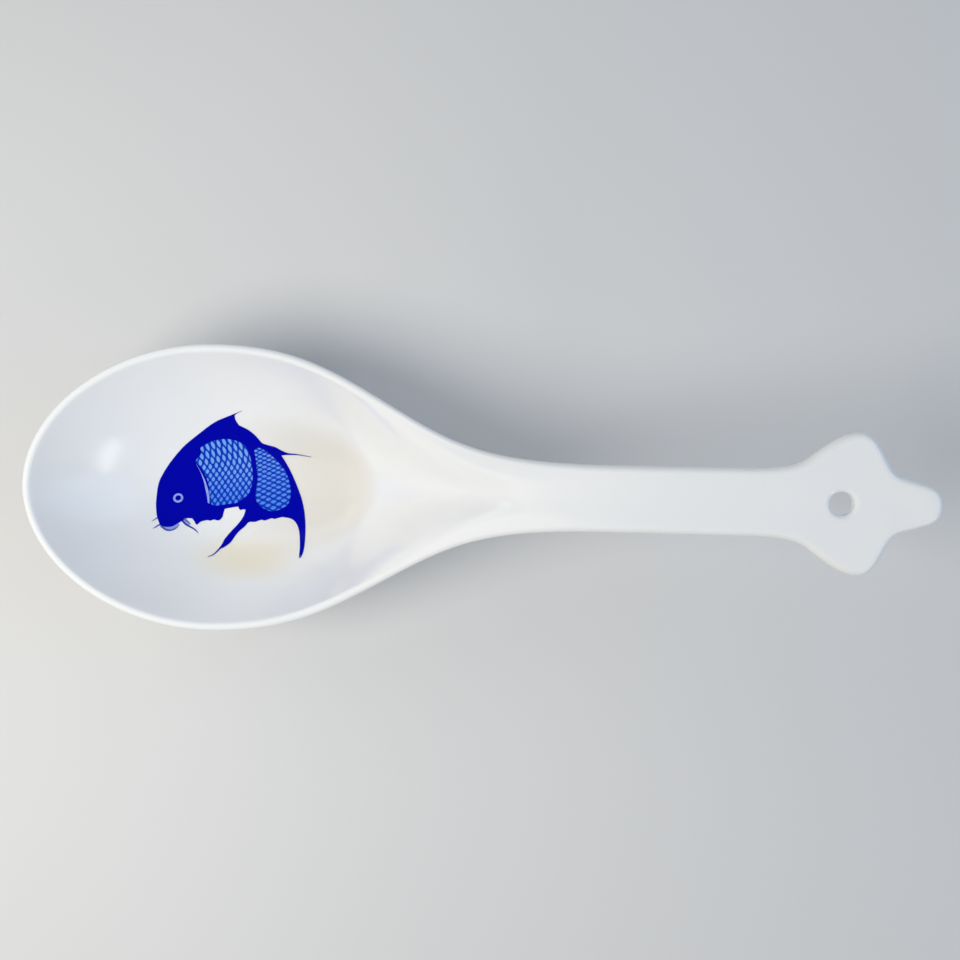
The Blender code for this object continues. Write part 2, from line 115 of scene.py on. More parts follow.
# The carp, in drawn units from the middle of the print: each stroke starts where the last one ends
EYE_PLACE = (-16.3, -4.3)
CARP_STROKES = (
    # Lip, forehead and back to the tip of the dorsal fin
    ((-20.1, -11.95), (-21.3, -9.2), (-21.9, -4.8), (-20.95, 1.5), (-15.15, 9.8), (-7.55, 15.9), (-3.8, 18.2),
     (0.85, 20.0), (4.4, 21.3)),
    # Dorsal fin's streak and trailing edge
    ((4.4, 21.15), (2.9, 20.55), (1.75, 19.9)),
    ((1.75, 19.9), (1.7, 18.7), (2.4, 17.1)),
    # Back behind the dorsal fin
    ((2.4, 17.1), (4.9, 15.8), (6.75, 14.2), (8.3, 12.2), (8.8, 11.85)),
    # Second fin, out to its long tip and back
    ((8.8, 11.85), (10.35, 11.4), (12.25, 10.9), (14.15, 9.9), (15.9, 9.2), (18.5, 8.95), (23.1, 8.2)),
    ((23.1, 8.0), (18.5, 8.6), (15.6, 8.6), (14.0, 8.45)),
    # Rear edge of the body and the outside of the tail
    ((14.0, 8.4), (15.5, 5.9), (16.9, 3.2), (18.4, -0.2), (19.8, -3.9), (20.75, -7.4), (21.45, -11.6),
     (21.9, -15.7), (22.05, -18.65), (21.75, -20.4)),
    # Tail's tip and inside
    ((21.75, -20.4), (21.35, -20.7), (21.0, -20.3)),
    ((21.0, -20.3), (20.8, -18.3), (20.35, -15.8), (19.6, -12.9), (18.4, -10.9), (16.85, -9.9),
     (14.25, -9.5)),
    # Scalloped belly, in three low waves
    ((14.25, -9.5), (12.85, -9.9), (12.1, -10.1), (11.2, -9.9)),
    ((11.2, -9.9), (10.0, -10.35), (9.1, -10.6), (8.3, -10.4)),
    ((8.3, -10.4), (7.3, -10.7), (6.3, -11.05), (5.0, -11.05), (4.3, -11.25)),
    # Belly fin, out to its tip and back
    ((4.3, -11.25), (3.35, -12.45), (1.9, -13.75), (0.9, -15.15), (-0.1, -16.9), (-1.35, -18.0),
     (-2.75, -18.85), (-3.25, -19.5), (-4.2, -20.4), (-5.75, -20.95)),
    ((-5.75, -20.75), (-4.35, -20.0), (-3.45, -19.0), (-2.6, -17.6), (-1.95, -15.9), (-0.5, -13.85),
     (1.5, -11.45), (2.7, -9.5), (3.25, -7.6)),
    # Step in the belly ahead of that fin
    ((3.25, -7.6), (2.45, -7.5), (1.65, -7.75)),
    ((1.65, -7.75), (1.15, -7.2), (0.95, -6.7)),
    ((0.95, -6.7), (-1.15, -7.05), (-3.0, -7.45)),
    ((-3.0, -7.45), (-3.3, -8.55), (-3.5, -9.75), (-4.15, -10.65)),
    # Scalloped throat, in three low waves
    ((-4.15, -10.65), (-4.75, -10.8), (-5.9, -10.5)),
    ((-5.9, -10.5), (-6.85, -10.85), (-7.7, -10.7)),
    ((-7.7, -10.7), (-9.1, -11.0), (-9.85, -11.45), (-10.4, -12.05)),
    # Chin and mouth
    ((-10.4, -12.05), (-10.85, -11.75), (-11.35, -10.95), (-12.05, -10.2)),
    ((-12.05, -10.2), (-12.8, -10.15), (-13.65, -10.25), (-14.55, -10.85)),
    ((-14.55, -10.85), (-15.85, -11.75), (-16.65, -12.3), (-17.7, -12.55), (-18.95, -12.45), (-20.1, -11.95)),
)
DRAWN_ALONG = [point[0] for stroke in CARP_STROKES for point in stroke]
DRAWN_LENGTH = max(DRAWN_ALONG) - min(DRAWN_ALONG)
# Edges of the two scaly flanks
FRONT_FLANK = (
    (-9.65, 10.4), (-7.75, 11.6), (-5.75, 12.5), (-2.35, 13.1), (0.0, 12.8), (2.1, 12.1), (3.4, 11.1),
    (4.3, 9.2), (4.85, 6.4), (5.2, 2.6), (4.9, -0.2), (3.9, -3.0), (2.4, -4.2), (0.45, -5.6), (-1.95, -6.0),
    (-4.1, -6.3), (-6.1, -6.5), (-7.15, -5.85), (-7.6, -3.35), (-8.15, 0.3), (-9.05, 2.7), (-10.2, 4.75),
    (-11.4, 6.05), (-10.7, 7.55), (-9.8, 8.5), (-9.65, 9.5),
)
REAR_FLANK = (
    (6.0, 9.8), (7.2, 10.6), (8.8, 10.0), (10.45, 8.9), (12.9, 6.5), (15.2, 3.4), (16.4, -0.4), (16.6, -2.8),
    (15.9, -5.7), (14.2, -6.95), (12.7, -7.6), (10.8, -7.9), (9.0, -7.3), (7.45, -6.4), (6.3, -4.8),
    (6.15, -2.6), (6.7, 1.8), (6.4, 5.0), (6.15, 8.2),
)
# Pale sliver of the gill, down its front and up its back
GILL = (
    ((-11.3, 5.7), (-10.2, 3.3), (-9.4, 0.9), (-8.9, -1.4), (-8.4, -3.55), (-7.95, -5.95)),
    ((-7.55, -5.95), (-7.7, -3.55), (-8.2, -1.4), (-8.9, 0.75), (-9.9, 3.0), (-11.15, 5.5)),
)
# Pale wash under the mouth and between the whiskers behind it
WASHES = (
    (((-19.9, -11.75), (-18.95, -12.15), (-17.7, -12.25), (-16.45, -12.0), (-15.3, -11.4)),
     ((-15.3, -11.9), (-16.2, -12.95), (-17.35, -13.3), (-18.5, -13.05), (-19.8, -12.3))),
    (((-14.45, -10.7), (-13.75, -10.45), (-13.15, -11.05), (-12.5, -11.55)),
     ((-12.25, -12.1), (-13.0, -12.0), (-13.8, -11.6), (-14.35, -11.0))),
)
# Whiskers and the line of the chin: points, width, and how dense the ink is
WHISKERS = (
    (((-21.0, -9.85), (-21.75, -10.45), (-22.3, -10.95)), 0.34, 0.35),
    (((-20.0, -11.65), (-20.9, -12.35), (-21.65, -12.95)), 0.42, 0.62),
    (((-14.55, -10.8), (-13.7, -11.7), (-12.55, -12.4), (-11.3, -13.05), (-10.3, -13.8), (-9.75, -14.4)),
     0.46, 0.72),
    (((-14.1, -10.3), (-13.15, -11.05), (-12.2, -11.75)), 0.46, 0.40),
    (((-19.9, -12.1), (-18.5, -13.2), (-17.35, -13.5), (-16.2, -13.15), (-15.6, -12.6), (-15.2, -11.9)),
     0.5, 0.5),
)
# Weave of the scales on each flank
FRONT_WEAVE = {
    "centre": (-2.9, 3.0), "across": (0.62, -0.05), "along": (-0.50, -0.37), "bend": -0.38, "crowd": 0.0,
    "fade": (-10.0, 4.0)}
REAR_WEAVE = {
    "centre": (11.5, -6.0), "across": (0.385, -0.56), "along": (0.237, 0.56), "bend": 0.0, "crowd": 0.016,
    "fade": (-6.0, 28.0)}
# Tips where the ink thins out: place, and how far the thinning reaches
FAINT_TIPS = (((23.1, 8.1), 7.0), ((-5.75, -20.85), 4.0), ((4.4, 21.2), 3.6), ((21.35, -20.7), 1.2))
# Share of its width that a whisker loses by its end, and the angle that keeps a film's edges crisp
WHISKER_TAPER = 0.8
CRISP_ANGLE = radians(40)

# Where the glaze's colour changes, for the painted floor shade, the yellow band and the foot: in each pair,
# the value where a change starts and the one where it is complete
FACING_UP = (0.2, 0.8)
# Painted shade: a warmer, darker white laid on the bowl's low floor, only where it faces up
FLOOR_SHADE_HEIGHT = (0.0115, 0.0050)
FLOOR_SHADE_ALONG = (-0.020, 0.012)
# Yellower white in a band beside the floor on the bowl's -Y side, only where it faces up
BAND_HEIGHT = (0.0180, 0.0120)
BAND_ACROSS = (-0.0125, -0.0205)
BAND_FROM_TIP = (-0.030, -0.010)
BAND_FROM_NECK = (0.012, -0.006)
FOOT_HEIGHT = (0.00035, 0.00015)
# How ragged the foot's edge is, how the glaze's tone and surface vary, and how rough glaze and foot are
FOOT_RAGGED = 0.00015
DEEP_GLAZE = 0.985
RIPPLE_DEPTH = 0.00012
RIPPLE_STRENGTH = 0.25
GLAZE_ROUGHNESS = 0.17
FOOT_ROUGHNESS = 0.75

# Inks: where they go from faint to full, their fuller tones, the net's bend and scales, and their roughness
INK_DENSITY = (0.05, 0.9)
FULL_COBALT = 1.05
FULL_WASH = 0.85
BEND_BELOW = 3.0
BEND_EASE = 4.0
SCALE_EDGE = (0.22, 0.72)
SCALE_PATCHES = 0.07
DIM_SCALE = (0.42, 0.60, 0.95)
SLEEK_INK = 0.10
DULL_INK = 0.14

# Unevenness of glaze and ink: scales of the noise, and the part of its range that is used
FOOT_GRAIN = 300.0
CLOUD_GRAIN = 30.0
RIPPLE_GRAIN = 55.0
INK_GRAIN = 700.0
WASH_GRAIN = 800.0
NOISE_RANGE = (0.3, 0.7)
MOTTLE_RANGE = (0.3, 0.8)

# Stage
FLOOR_REACH = 3.0
SKY_TINT = (0.97, 0.985, 1.0, 1.0)
SKY_STRENGTH = 0.34
SENSOR_WIDTH = 36.0
NEAREST_SEEN = 0.01


def length(name, description, default):
    return FloatProperty(
        name=name, description=description, default=default, min=0.0, precision=4,
        subtype="DISTANCE", unit="LENGTH")


def colour(name, description, default):
    return FloatVectorProperty(
        name=name, description=description, default=default, size=3, min=0.0, max=1.0, subtype="COLOR")


class SpoonWare(PropertyGroup):
    """Sizes and colours of the porcelain ware."""
    bowl_length: length("Bowl length", "From the bowl's tip to the start of the neck", 0.106)
    bowl_width: length("Bowl width", "Across the bowl at its widest", HIGH.y - LOW.y)
    bowl_widest: length("Widest place", "From the bowl's tip to its widest place", 0.051)
    bowl_end: length("Bowl end width", "Width where the bowl runs into the neck", 0.0388)
    floor_start: length("Floor start", "From the tip to where the floor's rounded end is centred", 0.051)
    floor_end: length("Floor end", "From the tip to where the floor starts to climb", 0.084)
    back_wall: length("Back wall", "From the tip to the steep part of the climb", 0.100)
    back_height: length(
        "Back wall height", "Height of the ware's middle at the steep part of the climb", 0.0130)
    corner_ease: length(
        "Corner ease", "How far the glaze rounds off the corner of floor and back wall", 0.012)
    neck: length("Neck length", "From the bowl's end to the even part of the handle", 0.052)
    hollow: length("Neck hollow", "How far the bowl's hollow runs into the neck", 0.033)
    handle: length("Handle length", "Even part of the handle", 0.027)
    handle_width: length("Handle width", "Width of the handle's even part", 0.0161)
    star_bend: length("Star bend", "From the handle's end to halfway up the arms' rising edges", 0.0157)
    bend_width: length("Bend width", "Width of the star halfway up the arms' rising edges", 0.0202)
    star_arm: length("Star arm", "From the handle's end to the tips of the star's arms", 0.0272)
    star_width: length("Star width", "Across the star's arms", 0.0329)
    star_notch: length("Star notch", "From the handle's end to the notches before the point", 0.0359)
    notch_width: length("Notch width", "Width of the star between its notches", 0.0134)
    point_round: length("Point round", "How blunt the star's point is", 0.0093)
    tip_height: length("Tip height", "Height of the rim at the bowl's tip", 0.0325)
    rim_dip: length("Rim dip", "From the tip to the rim's lowest place", 0.070)
    rim_height: length("Rim height", "Height of the rim at its lowest place", 0.0295)
    neck_height: length("Neck height", "Height of the rim where the neck starts", 0.0370)
    handle_height: length("Handle height", "Height of the handle's top where its even part starts", 0.0520)
    wall: length("Wall", "Thickness of the ware at the rim", 0.0025)
    floor: length("Floor thickness", "Thickness of the ware under the floor", 0.0052)
    handle_thick: length("Handle thickness", "Thickness of the handle", 0.0050)
    edge_round: length("Edge round", "How far the rounding of the handle's edges reaches in", 0.0017)
    handle_dish: length("Handle dish", "How far the handle's top is hollowed", 0.0003)
    foot_grind: length("Foot grind", "How much is ground off to make the foot", 0.0012)
    hole: length("Hole", "Diameter of the hanging hole", 0.0055)
    hole_round: length("Hole edge", "Rounding of the hanging hole's edges", 0.0012)
    hole_from_end: length("Hole from end", "From the star's point to the middle of the hole", 0.0214)
    glaze: colour("Glaze", "White of the glazed ware", FINISHES["white_glaze"])
    # Painted shade laid on the bowl's low floor, warmer and darker than the glaze
    floor_shade: colour(
        "Floor shade", "Warmer, darker white painted on the bowl's floor as its shade", (0.745, 0.727, 0.685))
    # Yellower white laid in a band beside the bowl's floor on its -Y side
    yellow_band: colour(
        "Yellow band", "Yellower white in a band beside the bowl's floor", (0.81, 0.765, 0.63))
    biscuit: colour("Unglazed foot", "Bare fired clay of the ground foot", (0.74, 0.70, 0.63))


class SpoonPrint(PropertyGroup):
    """Sizes and inks of the carp print."""
    span: length("Print length", "From the carp's nose to the tip of its fin", PRINT_HIGH.x - PRINT_LOW.x)
    ink_lift: length("Ink lift", "How far the print lies over the glaze", 0.00009)
    ink_thick: length("Ink thickness", "Thickness of the fired ink", 0.00003)
    eye: length("Eye", "Diameter of the pale ring of the eye", 0.0027)
    pupil: length("Pupil", "Diameter of the dot in the eye", 0.0015)
    tuck: length("Tuck", "How far the scaly flanks reach under the ink round them", 0.0002)
    cobalt: colour("Cobalt", "Deep blue of the carp", FINISHES["cobalt_print"])
    faint: colour("Faint ink", "Greyed blue where the ink thins out", (0.20, 0.23, 0.40))
    net: colour("Net", "Blue of the lines between the scales", (0.0, 0.034, 0.46))
    scale: colour("Scale", "Pale blue of the scales", (0.175, 0.375, 0.84))
    wash: colour("Wash", "Pale blue of the eye's ring, the gill and the mouth", (0.30, 0.38, 0.84))


class SpoonStage(PropertyGroup):
    """Floor, light and camera."""
    camera_place: FloatVectorProperty(
        name="Camera", description="Where the camera stands", default=(LOW.x + 0.14445, 0.013835, 0.27955),
        subtype="TRANSLATION", unit="LENGTH")
    camera_aim: FloatVectorProperty(
        name="Aim", description="Point on the floor in the middle of the picture",
        default=(LOW.x + 0.12132, 0.00191, 0.0), subtype="TRANSLATION", unit="LENGTH")
    camera_roll: FloatProperty(
        name="Roll", description="Turn of the camera about its line of sight", default=radians(0.6),
        subtype="ANGLE", unit="ROTATION")
    lens: FloatProperty(
        name="Lens", description="Focal length on a 36 mm wide sensor", default=36.04,
        subtype="DISTANCE_CAMERA", unit="CAMERA")
    floor: colour("Floor", "Colour of the floor", (0.66, 0.66, 0.66))


class WareShape:
    """Heights, thicknesses and outline of the ware, worked out from its sizes."""

    def __init__(self, sizes):
        self.sizes = sizes
        self.length = HIGH.x - LOW.x
        self.handle_start = sizes.bowl_length + sizes.neck
        self.handle_end = self.handle_start + sizes.handle
        self.hollow_end = sizes.bowl_length + sizes.hollow
        self.point_start = self.handle_end + sizes.star_notch

    def rim(self, x):
        s = self.sizes
        return line_through([
            (0.0, s.tip_height, 0.0),
            (s.rim_dip, s.rim_height, 0.0),
            (s.bowl_length, s.neck_height, NECK_RISE),
            (self.handle_start, s.handle_height, HANDLE_RISE),
            (self.length, HIGH.z, END_RISE),
        ], x)

    def edge_thickness(self, x):
        s = self.sizes
        return line_through([(s.bowl_length, s.wall, 0.0), (self.handle_start, s.handle_thick, 0.0)], x)

    def centre_thickness(self, x):
        s = self.sizes
        return line_through([(s.floor_end, s.floor, 0.0), (self.handle_start, s.handle_thick, 0.0)], x)

    def edge(self, x):
        """Height of the middle of the ware at its edge."""
        return self.rim(x) - self.edge_thickness(x) / 2

    def keel(self, x):
        """Height of the middle of the ware along the spoon's centre line."""
        s = self.sizes
        if x > self.hollow_end:
            return self.edge(x) - s.handle_dish
        slope = (self.edge(self.hollow_end + SLOPE_STEP) - self.edge(self.hollow_end)) / SLOPE_STEP
        return line_through([
            (s.floor_end, s.floor / 2 - s.foot_grind, 0.0),
            (s.back_wall, s.back_height, BACK_WALL_RISE),
            (self.hollow_end, self.edge(self.hollow_end) - s.handle_dish, slope),
        ], x)

    def edge_reach(self, x):
        """How far the rounding of the edge reaches in from the outline."""
        s = self.sizes
        return line_through([(s.bowl_length, s.wall / 2, 0.0), (self.handle_start, s.edge_round, 0.0)], x)

    def climb(self, x, reach):
        """How far the ware has climbed along a rib, from 0 at its centre line to 1 at its edge."""
        s = self.sizes
        wall = reach ** WALL_SQUARENESS
        width = line_through([
            (s.back_wall, 1.0, 0.0), (self.hollow_end, HOLLOW_SHARE, 0.0), (self.handle_start, 1.0, 0.0)], x)
        hollow = 1.0 - (1.0 - np.minimum(reach / width, 1.0) ** 2) ** NECK_SQUARENESS
        neck = line_through([(s.floor_end, 0.0, 0.0), (s.bowl_length, 1.0, 0.0)], x)
        return wall + (hollow - wall) * neck

    def half_outline(self):
        """Plan outline of the +Y side, from the bowl's tip to the point of the star."""
        s = self.sizes
        ahead = Vector((1.0, 0.0, 0.0))
        across = Vector((0.0, 1.0, 0.0))
        into_neck = Vector((1.0, NECK_TAPER, 0.0)).normalized()
        up_arm = Vector((1.0, STAR_ARM_RISE, 0.0)).normalized()
        into_point = Vector((1.0, STAR_POINT_TAPER, 0.0)).normalized()
        half_bowl = s.bowl_width / 2
        half_handle = s.handle_width / 2
        flank = s.bowl_length - s.bowl_widest
        grip = HANDLE_FULLNESS * s.handle
        shoulder = s.star_arm - s.star_bend
        edge = s.star_notch - s.star_arm
        point = self.length - self.point_start
        bend = self.handle_end + s.star_bend
        arm_end = self.handle_end + s.star_arm
        # Each knot: place, direction of travel, reach of the curve behind it and ahead of it
        knots = [
            ((0.0, 0.0), across, 0.0, TIP_FULLNESS * half_bowl),
            ((s.bowl_widest, half_bowl), ahead, TIP_FULLNESS * s.bowl_widest, FLANK_FULLNESS * flank),
            ((s.bowl_length, s.bowl_end / 2), into_neck, SHOULDER_FULLNESS * flank, NECK_FULLNESS * s.neck),
            ((self.handle_start, half_handle), ahead, NECK_END_FULLNESS * s.neck, grip),
            ((self.handle_end, half_handle), ahead, grip, ARM_SWEEP * s.star_bend),
            ((bend, s.bend_width / 2), up_arm,
             ARM_RISE_FULLNESS * s.star_bend, ARM_SHOULDER_FULLNESS * shoulder),
            ((arm_end, s.star_width / 2), ahead, ARM_FULLNESS * shoulder, ARM_EDGE_FULLNESS * edge),
            ((self.point_start, s.notch_width / 2), into_point,
             NOTCH_FULLNESS * edge, POINT_FULLNESS * point),
            ((self.length, 0.0), -across, s.point_round / 2, 0.0),
        ]
        points = []
        for knot, following, steps in zip(knots, knots[1:], RIB_STEPS):
            place, heading, _, reach = knot
            goal, arrival, approach, _ = following
            start = Vector((*place, 0.0))
            end = Vector((*goal, 0.0))
            points += interpolate_bezier(
                start, start + heading * reach, end - arrival * approach, end, steps + 1)[:-1]
        points.append(end)
        return np.array([(p.x, p.y) for p in points])

    def ribs(self):
        """Rows of points from the centre line's top, over the lip, to the centre line's underside."""
        s = self.sizes
        outline = self.half_outline()
        flat = np.column_stack((outline, np.zeros(len(outline))))
        travel = np.gradient(flat, axis=0)
        travel[0] = flat[1] - mirrored(flat[1])
        travel[-1] = mirrored(flat[-2]) - flat[-2]
        outward = unit(np.column_stack((-travel[:, 1], travel[:, 0])))
        lip = np.array([self.edge_thickness(x) / 2 for x in outline[:, 0]])
        inset = np.array([self.edge_reach(x) for x in outline[:, 0]])
        edge = outline - outward * inset[:, None]
        edge[[0, -1], 1] = 0.0

        # Middle of the ware, from the centre line to the edge
        centre_x = np.clip(edge[:, 0], s.floor_start, self.point_start)
        reach = 1.0 - (1.0 - np.linspace(0.0, 1.0, WALL_STEPS + 1)) ** RIM_CROWDING
        middle = np.zeros((len(outline), len(reach), 3))
        half = np.zeros((len(outline), len(reach)))
        for rib, x in enumerate(centre_x):
            middle[rib, :, 0] = x + (edge[rib, 0] - x) * reach
            low = np.array([self.keel(place) for place in middle[rib, :, 0]])
            high = self.edge(outline[rib, 0])
            core = self.centre_thickness(x) / 2
            middle[rib, :, 1] = edge[rib, 1] * reach
            middle[rib, :, 2] = low + (high - low) * self.climb(x, reach)
            half[rib] = core + (lip[rib] - core) * reach ** 2

        # Direction square to the ware, from its neighbours along the outline and along the rib
        along = np.gradient(middle, axis=0)
        along[0] = middle[1] - mirrored(middle[1])
        along[-1] = mirrored(middle[-2]) - middle[-2]
        up_rib = np.gradient(middle, axis=1)
        up_rib[:, 0] = middle[:, 1] - mirrored(middle[:, 1])
        square = unit(np.cross(up_rib, along))
        fan_in = np.argmax(centre_x > s.floor_start)
        fan_out = len(centre_x) - 1 - np.argmax(centre_x[::-1] < self.point_start)
        square[:fan_in, 0] = square[fan_in, 0]
        square[fan_out + 1:, 0] = square[fan_out, 0]
        square *= np.sign(square[:, :, 2:])

        # Top, softened from rib to rib where the floor meets the back wall
        top = middle + square * half[:, :, None]
        corner = np.exp(-((outline[:, 0] - s.floor_end) / s.corner_ease) ** 2)[:, None, None]
        soften(top, (corner * (1.0 - reach[:, None] ** 4) / 2)[1:-1], EASE_PASSES)

        # Underside, softened along each rib of the neck
        under = middle - square * half[:, :, None]
        neck = np.exp(-((outline[:, 0] - s.bowl_length - s.hollow / 2) / s.hollow) ** 2)[:, None] / 2
        soften(under.swapaxes(0, 1), neck, NECK_PASSES)

        # Lip, round from the top to the underside
        rim_square = square[:, -1]
        rim_out = unit(np.cross(rim_square, unit(along[:, -1])))
        turn = np.linspace(0.0, pi, LIP_STEPS + 1)[1:-1]
        rise = rim_square[:, None] * lip[:, None, None] * np.cos(turn)[None, :, None]
        swell = rim_out[:, None] * inset[:, None, None] * np.sin(turn)[None, :, None]
        round_lip = middle[:, -1:] + rise + swell
        return np.concatenate((top, round_lip, under[:, ::-1]), axis=1)


def line_through(knots, x):
    """Height at x of the smooth line through knots of (x, height, slope)."""
    for (x0, z0, m0), (x1, z1, m1) in zip(knots, knots[1:]):
        if x <= x1:
            break
    span = x1 - x0
    t = min(max((x - x0) / span, 0.0), 1.0)
    ease = t * t * (3.0 - 2.0 * t)
    leaving = m0 * span * t * (1.0 - t) ** 2
    arriving = m1 * span * t * t * (t - 1.0)
    return z0 + (z1 - z0) * ease + leaving + arriving


def mirrored(points):
    return points * np.array((1.0, -1.0, 1.0))


def unit(vectors):
    return vectors / np.maximum(np.linalg.norm(vectors, axis=-1, keepdims=True), TINY)


def soften(rows, share, passes):
    """Move each row of points but the end ones towards the middle of its neighbours, by the given share."""
    for _ in range(passes):
        rows[1:-1] += ((rows[:-2] + rows[2:]) / 2 - rows[1:-1]) * share


def add_piece(name, bm, mat, nodes=()):
    """Make a mesh object that rides with the spoon and stands for the given nodes of the frame."""
    mesh = bpy.data.meshes.new(name)
    bm.to_mesh(mesh)
    bm.free()
    mesh.materials.append(mat)
    mesh.shade_smooth()
    obj = bpy.data.objects.new(name, mesh)
    bpy.context.scene.collection.objects.link(obj)
    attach(obj, "root")
    if nodes:
        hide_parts(*nodes)
    return obj


def hole_cutter(shape):
    """Cutter that leaves a hole square to the star, with rounded edges."""
    s = shape.sizes
    x = shape.length - s.hole_from_end
    middle = Vector((LOW.x + x, 0.0, shape.keel(x)))
    slope = (shape.keel(x + SLOPE_STEP) - shape.keel(x - SLOPE_STEP)) / (2 * SLOPE_STEP)
    half = shape.centre_thickness(x) / 2
    radius = s.hole / 2
    turns = np.linspace(0.0, pi / 2, HOLE_ROUND_STEPS + 1)
    flare = [(radius + s.hole_round * (1 - cos(a)), half - s.hole_round * (1 - sin(a))) for a in turns]
    past = (radius + s.hole_round, half + s.hole_round)
    profile = [(0.0, past[1]), past] + flare[::-1]
    profile += [(r, -z) for r, z in profile[::-1]]
    bm = bmesh.new()
    verts = [bm.verts.new((r, 0.0, z)) for r, z in profile]
    edges = [bm.edges.new(pair) for pair in zip(verts, verts[1:])]
    bmesh.ops.spin(
        bm, geom=verts + edges, cent=(0, 0, 0), axis=(0, 0, 1), angle=2 * pi, steps=HOLE_STEPS,
        use_merge=True)
    bmesh.ops.remove_doubles(bm, verts=bm.verts, dist=MERGE)
    bmesh.ops.recalc_face_normals(bm, faces=bm.faces)
    lean = Vector((0, 0, 1)).rotation_difference(Vector((-slope, 0.0, 1.0)))
    bmesh.ops.transform(bm, matrix=lean.to_matrix().to_4x4(), verts=bm.verts)
    bmesh.ops.translate(bm, vec=middle, verts=bm.verts)
    return bm


def cut_hole(ware, shape):
    """Drill the hanging hole through the star."""
    mesh = bpy.data.meshes.new("hole_cutter")
    bm = hole_cutter(shape)
    bm.to_mesh(mesh)
    bm.free()
    cutter = bpy.data.objects.new("hole_cutter", mesh)
    bpy.context.scene.collection.objects.link(cutter)
    cut = ware.modifiers.new("hanging hole", "BOOLEAN")
    cut.operation = "DIFFERENCE"
    cut.solver = "EXACT"
    cut.object = cutter
    drilled = bpy.data.meshes.new_from_object(ware.evaluated_get(bpy.context.evaluated_depsgraph_get()))
    ware.modifiers.clear()
    ware.data = drilled
    bpy.data.objects.remove(cutter, do_unlink=True)


def grind_foot(bm):
    """Cut the underside flat at the table, with a crisp edge."""
    cut = bmesh.ops.bisect_plane(
        bm, geom=bm.verts[:] + bm.edges[:] + bm.faces[:], dist=MERGE,
        plane_co=(0.0, 0.0, 0.0), plane_no=(0.0, 0.0, -1.0), clear_outer=True)
    ring = [item for item in cut["geom_cut"] if isinstance(item, bmesh.types.BMEdge)]
    foot = bmesh.ops.contextual_create(bm, geom=ring)["faces"]
    for edge in ring:
        edge.smooth = False
    bmesh.ops.triangulate(bm, faces=foot)


def model_ware(sizes):
    """One piece of ware: bowl, neck, handle and star."""
    shape = WareShape(sizes)
    ribs = shape.ribs()
    rows, columns = ribs.shape[:2]
    bm = bmesh.new()
    bmesh.ops.create_grid(bm, x_segments=columns - 1, y_segments=rows - 1, size=shape.length)
    for vert, place in zip(bm.verts, ribs.reshape(-1, 3)):
        vert.co = place
    bmesh.ops.mirror(bm, geom=bm.verts[:] + bm.edges[:] + bm.faces[:], axis="Y", merge_dist=MERGE)
    bmesh.ops.remove_doubles(bm, verts=bm.verts, dist=MERGE)
    bmesh.ops.dissolve_degenerate(bm, edges=bm.edges, dist=MERGE)
    bmesh.ops.translate(bm, vec=(LOW.x, 0.0, 0.0), verts=bm.verts)
    grind_foot(bm)
    bmesh.ops.recalc_face_normals(bm, faces=bm.faces)
    ware = add_piece("porcelain_ware", bm, white_glaze(sizes), ["spoon_body"])
    cut_hole(ware, shape)
    mark_upward(ware)
    return ware


def mark_upward(ware):
    """Store how far the surface faces up at each point, so that the painted floor shade and the yellow band
    stay inside the bowl.
    """
    upward = ware.data.attributes.new("upward", "FLOAT", "POINT")
    upward.data.foreach_set("value", [normal.vector.z for normal in ware.data.vertex_normals])


def smooth_curve(points, closed=False):
    """Points along a smooth curve through the given ones; the last of an open curve is left out."""
    path = [Vector((point[0], point[1], 0.0)) for point in points]
    count = len(path)
    if closed:
        headings = [path[(i + 1) % count] - path[i - 1] for i in range(count)]
        spans = [(i, (i + 1) % count) for i in range(count)]
    else:
        headings = [path[min(i + 1, count - 1)] - path[max(i - 1, 0)] for i in range(count)]
        spans = [(i, i + 1) for i in range(count - 1)]
    curve = []
    for i, j in spans:
        reach = (path[j] - path[i]).length / 3
        lead = path[i] + headings[i].normalized() * reach
        tail = path[j] - headings[j].normalized() * reach
        curve += interpolate_bezier(path[i], lead, tail, path[j], PRINT_STEPS + 1)[:-1]
    return curve


def placed(drawn, sizes):
    """Drawn points at their real size, over their place in the bowl."""
    scale = sizes.span / DRAWN_LENGTH
    start = PRINT_LOW.x - min(DRAWN_ALONG) * scale
    return [Vector((start + point[0] * scale, point[1] * scale, 0.0)) for point in drawn]


def circle(centre, diameter):
    turns = np.linspace(0.0, 2 * pi, EYE_STEPS, endpoint=False)
    return [centre + Vector((cos(a), sin(a), 0.0)) * diameter / 2 for a in turns]


def loop_of(strokes, sizes):
    """Closed loop of drawn strokes at its real size: each stroke starts where the last one ends."""
    return placed([point for stroke in strokes for point in smooth_curve(stroke)], sizes)


def grown(loop, distance):
    """A loop, drawn clockwise, with each of its points moved out."""
    moved = []
    for before, here, after in zip(loop[-1:] + loop[:-1], loop, loop[1:] + loop[:1]):
        travel = (after - before).normalized()
        moved.append(here + Vector((-travel.y, travel.x, 0.0)) * distance)
    return moved


def ribbon(points, width):
    """Closed loop round a thin line that tapers to its end."""
    line = smooth_curve(points) + [Vector((*points[-1][:2], 0.0))]
    left, right = [], []
    for i, here in enumerate(line):
        travel = (line[min(i + 1, len(line) - 1)] - line[max(i - 1, 0)]).normalized()
        half = width / 2 * (1.0 - WHISKER_TAPER * (i / (len(line) - 1)) ** 2)
        left.append(here + Vector((-travel.y, travel.x, 0.0)) * half)
        right.append(here - Vector((-travel.y, travel.x, 0.0)) * half)
    return left + right[::-1]


